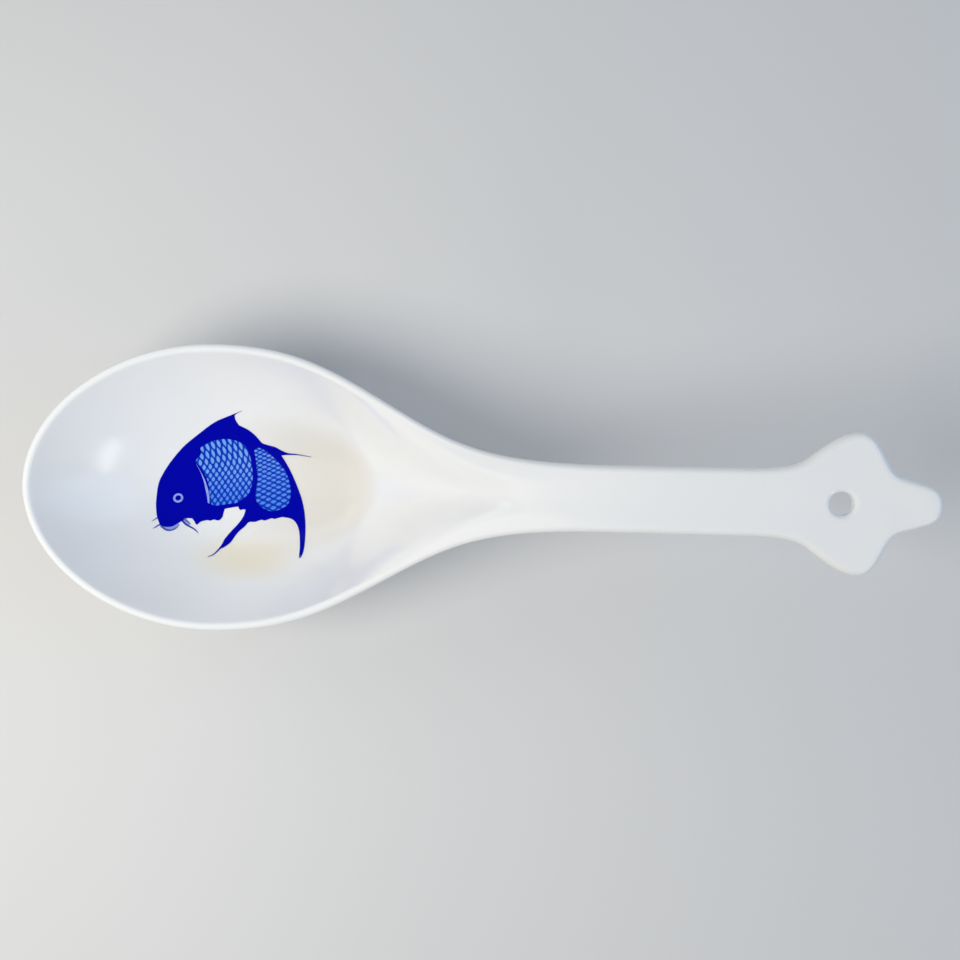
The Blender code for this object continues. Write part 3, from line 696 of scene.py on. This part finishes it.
def model_film(name, shapes, bowl, lift, thick, mat, nodes=()):
    """Thin film of ink draped over the bowl: each shape is a loop, with any windows after it."""
    bm = bmesh.new()
    for loops in shapes:
        part = bmesh.new()
        for loop in loops:
            verts = [part.verts.new(point) for point in loop]
            for pair in zip(verts, verts[1:] + verts[:1]):
                part.edges.new(pair)
        bmesh.ops.triangle_fill(part, use_beauty=True, edges=part.edges)
        for axis in (Vector((1.0, 0.0, 0.0)), Vector((0.0, 1.0, 0.0))):
            along = [point.dot(axis) for point in loops[0]]
            for cut in np.arange(min(along), max(along), PRINT_CELL)[1:]:
                bmesh.ops.bisect_plane(
                    part, geom=part.verts[:] + part.edges[:] + part.faces[:], dist=MERGE,
                    plane_co=axis * cut, plane_no=axis)
        piece = bpy.data.meshes.new(name)
        part.to_mesh(piece)
        part.free()
        bm.from_mesh(piece)
        bpy.data.meshes.remove(piece)
    bmesh.ops.triangulate(bm, faces=bm.faces)
    for vert in bm.verts:
        floor = bowl.ray_cast(Vector((vert.co.x, vert.co.y, HIGH.z)), Vector((0.0, 0.0, -1.0)))[0]
        vert.co.z = floor.z + lift
    raised = bmesh.ops.extrude_face_region(bm, geom=bm.faces[:], use_keep_orig=True)
    upper = [item for item in raised["geom"] if isinstance(item, bmesh.types.BMVert)]
    bmesh.ops.translate(bm, vec=(0.0, 0.0, thick), verts=upper)
    bmesh.ops.recalc_face_normals(bm, faces=bm.faces)
    film = add_piece(name, bm, mat, nodes)
    film.data.set_sharp_from_angle(angle=CRISP_ANGLE)
    return film


def mark_ink(film, sizes):
    """Store how dense the ink is at each point, thinning towards the tips of the fins."""
    tips = [(placed([place], sizes)[0], reach * sizes.span / DRAWN_LENGTH) for place, reach in FAINT_TIPS]
    density = film.data.attributes.new("ink", "FLOAT", "POINT")
    for vert, value in zip(film.data.vertices, density.data):
        nearest = min((Vector((vert.co.x, vert.co.y, 0.0)) - tip).length / reach for tip, reach in tips)
        value.value = min(nearest, 1.0)


def bowl_surface():
    """The finished ware's surface, to lay the print on."""
    ware = bpy.data.objects["porcelain_ware"]
    bm = bmesh.new()
    bm.from_mesh(ware.data)
    surface = BVHTree.FromBMesh(bm)
    bm.free()
    return surface


class Nodes:
    """A new material and short ways to add and join its nodes."""

    def __init__(self, name):
        self.material = bpy.data.materials.new(name)
        self.material.use_nodes = True
        self.tree = self.material.node_tree
        self.shader = self.tree.nodes["Principled BSDF"]
        self.place = self.tree.nodes.new("ShaderNodeTexCoord").outputs["Object"]

    def add(self, kind, inputs=None, **settings):
        node = self.tree.nodes.new(kind)
        for name, value in settings.items():
            setattr(node, name, value)
        for socket, value in (inputs or {}).items():
            self.join(value, node.inputs[socket])
        return node

    def join(self, value, socket):
        if isinstance(value, bpy.types.NodeSocket):
            self.tree.links.new(value, socket)
        else:
            socket.default_value = value

    def math(self, operation, *values):
        node = self.add("ShaderNodeMath", dict(enumerate(values)), operation=operation)
        return node.outputs[0]

    def ramp(self, value, start, end, low=0.0, high=1.0):
        node = self.add("ShaderNodeMapRange", {
            "Value": value, "From Min": start, "From Max": end, "To Min": low, "To Max": high,
        }, interpolation_type="SMOOTHSTEP")
        return node.outputs["Result"]

    def between(self, share, low, high):
        return self.ramp(share, 0.0, 1.0, low, high)

    def product(self, first, *others):
        for other in others:
            first = self.math("MULTIPLY", first, other)
        return first

    def noise(self, scale, detail=2.0):
        node = self.add("ShaderNodeTexNoise", {"Vector": self.place, "Scale": scale, "Detail": detail})
        return node.outputs["Fac"]

    def attribute(self, name):
        return self.add("ShaderNodeAttribute", attribute_name=name).outputs["Fac"]

    def parts(self, vector):
        return self.add("ShaderNodeSeparateXYZ", {"Vector": vector}).outputs

    def mix(self, share, first, second):
        node = self.add("ShaderNodeMix", data_type="RGBA")
        for socket, value in zip((node.inputs[0], node.inputs[6], node.inputs[7]), (share, first, second)):
            self.join(opaque(value), socket)
        return node.outputs[2]

    def bump(self, height, distance, strength=1.0):
        node = self.add("ShaderNodeBump", {"Height": height, "Distance": distance, "Strength": strength})
        self.join(node.outputs["Normal"], self.shader.inputs["Normal"])

    def finish(self, sockets):
        for name, value in sockets.items():
            self.join(opaque(value), self.shader.inputs[name])
        return self.material


def opaque(value):
    """A colour's three numbers with an alpha of 1; anything else as it is."""
    if isinstance(value, (bpy.types.NodeSocket, float, int)):
        return value
    return (*value, 1.0)


def white_glaze(sizes):
    """Clear gloss glaze on white porcelain, ground off the foot, with a warm painted shade on the bowl's
    floor and a yellower band beside it.
    """
    nodes = Nodes("white_glaze")
    upward = nodes.ramp(nodes.attribute("upward"), *FACING_UP)
    along, across, height = nodes.parts(nodes.place)
    # Painted shade: share of the warm, darker white on the bowl's low floor
    floor_shade = nodes.product(upward, nodes.ramp(height, *FLOOR_SHADE_HEIGHT), nodes.ramp(along, *FLOOR_SHADE_ALONG))
    # Share of the yellower band beside the floor on the bowl's -Y side
    run = nodes.product(
        upward, nodes.ramp(height, *BAND_HEIGHT), nodes.ramp(across, *BAND_ACROSS),
        nodes.ramp(along, *BAND_FROM_NECK), nodes.ramp(along, *BAND_FROM_TIP))
    ragged = nodes.between(nodes.noise(FOOT_GRAIN), -FOOT_RAGGED, FOOT_RAGGED)
    foot = nodes.ramp(nodes.math("ADD", height, ragged), *FOOT_HEIGHT)
    cloud = nodes.ramp(nodes.noise(CLOUD_GRAIN), *NOISE_RANGE)
    deep = tuple(DEEP_GLAZE * channel for channel in sizes.glaze)
    white = nodes.mix(cloud, tuple(sizes.glaze), deep)
    white = nodes.mix(floor_shade, white, tuple(sizes.floor_shade))
    white = nodes.mix(run, white, tuple(sizes.yellow_band))
    nodes.bump(nodes.noise(RIPPLE_GRAIN, detail=1.0), RIPPLE_DEPTH, RIPPLE_STRENGTH)
    return nodes.finish({
        "Base Color": nodes.mix(foot, white, tuple(sizes.biscuit)),
        "Roughness": nodes.between(foot, GLAZE_ROUGHNESS, FOOT_ROUGHNESS),
        "IOR": 1.5,
    })


def cobalt_ink(sizes):
    """Deep blue transfer ink under a gloss, thinner at the tips of the fins."""
    nodes = Nodes("cobalt_ink")
    density = nodes.ramp(nodes.attribute("ink"), *INK_DENSITY)
    mottle = nodes.ramp(nodes.noise(INK_GRAIN, detail=3.0), *MOTTLE_RANGE)
    fuller = tuple(min(FULL_COBALT * channel, 1.0) for channel in sizes.cobalt)
    blue = nodes.mix(mottle, tuple(sizes.cobalt), fuller)
    return nodes.finish({
        "Base Color": nodes.mix(density, tuple(sizes.faint), blue),
        "Roughness": nodes.between(mottle, SLEEK_INK, DULL_INK),
        "Specular IOR Level": 0.05,
    })


def scaly_ink(name, sizes, centre, across, along, bend, crowd, fade):
    """Blue net with pale scales in its meshes.

    across and along are the steps of the net's two sets of lines per drawn unit, bend turns the first set in
    the lower part, crowd draws the meshes closer towards the top, and fade gives the heights where the scales
    go from dim to pale.
    """
    nodes = Nodes(name)
    unit_length = sizes.span / DRAWN_LENGTH
    drawn = nodes.add("ShaderNodeMapping", {
        "Vector": nodes.place, "Location": placed([centre], sizes)[0], "Scale": (unit_length,) * 3,
    }, vector_type="TEXTURE").outputs["Vector"]
    height = nodes.parts(drawn)["Y"]
    low = nodes.math("SMOOTH_MIN", height, BEND_BELOW, BEND_EASE)
    closer = nodes.math("MULTIPLY_ADD", height, crowd, 1.0)
    waves = []
    for step, turn in ((across, bend), (along, 0.0)):
        count = nodes.add("ShaderNodeVectorMath", {0: drawn, 1: (*step, 0.0)}, operation="DOT_PRODUCT")
        lines = nodes.math("MULTIPLY_ADD", low, turn, count.outputs["Value"])
        lines = nodes.math("MULTIPLY", lines, closer)
        waves.append(nodes.math("ABSOLUTE", nodes.math("SINE", nodes.math("MULTIPLY", lines, pi))))
    cells = nodes.math("MULTIPLY", *waves)
    patchy = nodes.ramp(nodes.noise(INK_GRAIN), *NOISE_RANGE, -SCALE_PATCHES, SCALE_PATCHES)
    scales = nodes.ramp(nodes.math("ADD", cells, patchy), *SCALE_EDGE)
    dim = tuple(share * channel for share, channel in zip(DIM_SCALE, sizes.scale))
    pale = nodes.mix(nodes.ramp(height, *fade), dim, tuple(sizes.scale))
    return nodes.finish({
        "Base Color": nodes.mix(scales, tuple(sizes.net), pale),
        "Roughness": nodes.between(scales, DULL_INK, SLEEK_INK),
        "Specular IOR Level": 0.1,
    })


def pale_ink(sizes):
    """Thin blue wash that shows in the ring of the eye, along the gill and round the mouth."""
    nodes = Nodes("pale_ink")
    wash = nodes.ramp(nodes.noise(WASH_GRAIN), *NOISE_RANGE)
    fuller = tuple(FULL_WASH * channel for channel in sizes.wash)
    return nodes.finish({
        "Base Color": nodes.mix(wash, tuple(sizes.wash), fuller),
        "Roughness": 0.12,
        "Specular IOR Level": 0.3,
    })


def floor_finish(sizes):
    """Plain matt floor."""
    return Nodes("pale_floor").finish({
        "Base Color": tuple(sizes.floor),
        "Roughness": 0.9,
        "Specular IOR Level": 0.1,
    })


def soft_light(name, place, aim, size, power, tint, turn=0.0, glints=False):
    """Oval lamp, out of the camera's sight; only one that glints is mirrored in the glaze."""
    lamp = bpy.data.lights.new(name, "AREA")
    lamp.shape = "ELLIPSE"
    lamp.size, lamp.size_y = size
    lamp.energy = power
    lamp.color = tint
    obj = bpy.data.objects.new(name, lamp)
    obj.location = place
    facing = (Vector(aim) - Vector(place)).to_track_quat("-Z", "Y").to_matrix()
    obj.rotation_euler = (facing @ Matrix.Rotation(turn, 3, "Z")).to_euler()
    obj.visible_camera = False
    obj.visible_glossy = glints
    bpy.context.scene.collection.objects.link(obj)
    return obj


class SPOON_OT_ware(Operator):
    """Model the glazed porcelain: bowl, neck, handle and star in one piece"""
    bl_idname = "spoon.ware"
    bl_label = "Porcelain ware"

    def execute(self, context):
        model_ware(context.scene.spoon_ware)
        return {"FINISHED"}


class SPOON_OT_carp(Operator):
    """Lay the carp's cobalt body, with openings for its flanks and the ring of its eye, and its pupil in the
    bowl
    """
    bl_idname = "spoon.carp"
    bl_label = "Carp"

    def execute(self, context):
        sizes = context.scene.spoon_print
        bowl = bowl_surface()
        cobalt = cobalt_ink(sizes)
        eye = placed([EYE_PLACE], sizes)[0]
        windows = [
            smooth_curve(placed(FRONT_FLANK, sizes), closed=True),
            smooth_curve(placed(REAR_FLANK, sizes), closed=True),
            circle(eye, sizes.eye),
        ]
        body = model_film(
            "carp_body", [[loop_of(CARP_STROKES, sizes)] + windows], bowl, sizes.ink_lift, sizes.ink_thick,
            cobalt, ["carp_print_body"])
        pupil = model_film(
            "carp_pupil", [[circle(eye, sizes.pupil)]], bowl, sizes.ink_lift, sizes.ink_thick, cobalt,
            ["carp_print_pupil"])
        for film in (body, pupil):
            mark_ink(film, sizes)
        return {"FINISHED"}


class SPOON_OT_washes(Operator):
    """Lay the pale wash of the eye's ring, of the gill and round the mouth"""
    bl_idname = "spoon.washes"
    bl_label = "Pale washes"

    def execute(self, context):
        sizes = context.scene.spoon_print
        bowl = bowl_surface()
        wash = pale_ink(sizes)
        eye = placed([EYE_PLACE], sizes)[0]
        under = [[circle(eye, sizes.eye + 2 * sizes.tuck)]]
        under += [[loop_of(strokes, sizes)] for strokes in WASHES]
        model_film(
            "carp_washes", under, bowl, sizes.ink_lift / 3, sizes.ink_thick / 2, wash)
        over = sizes.ink_lift + sizes.ink_thick
        model_film(
            "carp_gill", [[loop_of(GILL, sizes)]], bowl, over, sizes.ink_thick / 2, wash)
        return {"FINISHED"}


class SPOON_OT_scales(Operator):
    """Lay the two scaly flanks, tucked under the cobalt round them"""
    bl_idname = "spoon.scales"
    bl_label = "Scaly flanks"

    def execute(self, context):
        sizes = context.scene.spoon_print
        bowl = bowl_surface()
        for name, flank, weave in (("front", FRONT_FLANK, FRONT_WEAVE), ("rear", REAR_FLANK, REAR_WEAVE)):
            ink = scaly_ink(f"{name}_scales_ink", sizes, **weave)
            loop = grown(smooth_curve(placed(flank, sizes), closed=True), sizes.tuck)
            model_film(
                f"carp_scales_{name}", [[loop]], bowl, sizes.ink_lift / 3, sizes.ink_thick / 2, ink,
                [f"carp_print_scales_{name}"])
        return {"FINISHED"}


class SPOON_OT_whiskers(Operator):
    """Draw the carp's whiskers and the line of its chin"""
    bl_idname = "spoon.whiskers"
    bl_label = "Whiskers"

    def execute(self, context):
        sizes = context.scene.spoon_print
        unit_length = sizes.span / DRAWN_LENGTH
        lines = [ribbon(placed(points, sizes), width * unit_length) for points, width, _ in WHISKERS]
        film = model_film(
            "carp_whiskers", [[line] for line in lines], bowl_surface(), sizes.ink_lift, sizes.ink_thick,
            cobalt_ink(sizes))
        density = film.data.attributes.new("ink", "FLOAT", "POINT")
        for vert, value in zip(film.data.vertices, density.data):
            place = Vector((vert.co.x, vert.co.y, 0.0))
            nearest = min(range(len(lines)), key=lambda i: min((place - point).length for point in lines[i]))
            value.value = WHISKERS[nearest][2]
        return {"FINISHED"}


class SPOON_OT_stage(Operator):
    """Set the floor, the soft light and the camera"""
    bl_idname = "spoon.stage"
    bl_label = "Stage"

    def execute(self, context):
        scene = context.scene
        sizes = scene.spoon_stage
        bm = bmesh.new()
        bmesh.ops.create_grid(bm, x_segments=1, y_segments=1, size=FLOOR_REACH)
        mesh = bpy.data.meshes.new("floor")
        bm.to_mesh(mesh)
        bm.free()
        mesh.materials.append(floor_finish(sizes))
        floor = bpy.data.objects.new("floor", mesh)
        scene.collection.objects.link(floor)

        world = bpy.data.worlds.new("studio")
        world.use_nodes = True
        sky = world.node_tree.nodes["Background"]
        sky.inputs["Color"].default_value = SKY_TINT
        sky.inputs["Strength"].default_value = SKY_STRENGTH
        scene.world = world

        middle = (LOW + HIGH) / 2
        soft_light(
            "key", place=(-0.20, -0.08, 0.37), aim=(0.02, 0.0, 0.02), size=(0.30, 0.30), power=1.30,
            tint=(1.0, 0.97, 0.90))
        soft_light(
            "fill", place=(0.78, 0.20, 0.50), aim=(LOW.x, 0.0, 0.0), size=(1.0, 0.6), power=2.1,
            tint=(0.40, 0.64, 1.0), glints=True)
        soft_light(
            "back", place=(-0.75, 0.70, 0.75), aim=middle, size=(0.9, 0.6), power=1.6,
            tint=(1.0, 1.0, 1.0), glints=True)
        soft_light(
            "window", place=(0.62, -0.50, 0.42), aim=middle, size=(0.60, 0.10), power=0.8,
            tint=(1.0, 0.97, 0.93), turn=radians(24), glints=True)

        data = bpy.data.cameras.new("camera")
        data.sensor_width = SENSOR_WIDTH
        data.lens = sizes.lens
        data.clip_start = NEAREST_SEEN
        camera = bpy.data.objects.new("camera", data)
        scene.collection.objects.link(camera)
        place = Vector(sizes.camera_place)
        forward = (Vector(sizes.camera_aim) - place).normalized()
        right = forward.cross(Vector((0.0, 1.0, 0.0))).normalized()
        right.rotate(Matrix.Rotation(-sizes.camera_roll, 3, forward))
        up = right.cross(forward)
        camera.matrix_world = Matrix.Translation(place) @ Matrix((right, up, -forward)).transposed().to_4x4()
        scene.camera = camera
        scene.view_settings.view_transform = "Standard"
        return {"FINISHED"}


class SPOON_PT_panel(Panel):
    """Sizes, colours and steps of the spoon"""
    bl_idname = "SPOON_PT_panel"
    bl_label = "Carp serving spoon"
    bl_space_type = "VIEW_3D"
    bl_region_type = "UI"
    bl_category = "Spoon"

    def draw(self, context):
        for operator in OPERATORS:
            self.layout.operator(operator.bl_idname)
        for group in (context.scene.spoon_ware, context.scene.spoon_print, context.scene.spoon_stage):
            box = self.layout.box()
            for name in group.__annotations__:
                box.prop(group, name)


GROUPS = {"spoon_ware": SpoonWare, "spoon_print": SpoonPrint, "spoon_stage": SpoonStage}
OPERATORS = (
    SPOON_OT_ware, SPOON_OT_carp, SPOON_OT_washes, SPOON_OT_scales, SPOON_OT_whiskers, SPOON_OT_stage)
CLASSES = (*GROUPS.values(), *OPERATORS, SPOON_PT_panel)


def register():
    for cls in CLASSES:
        bpy.utils.register_class(cls)
    for name, group in GROUPS.items():
        setattr(bpy.types.Scene, name, PointerProperty(type=group))


def unregister():
    for name in GROUPS:
        delattr(bpy.types.Scene, name)
    for cls in reversed(CLASSES):
        bpy.utils.unregister_class(cls)


def main():
    register()
    bpy.ops.spoon.ware()
    bpy.ops.spoon.carp()
    bpy.ops.spoon.washes()
    bpy.ops.spoon.scales()
    bpy.ops.spoon.whiskers()
    bpy.ops.spoon.stage()


if __name__ == "__main__":
    main()
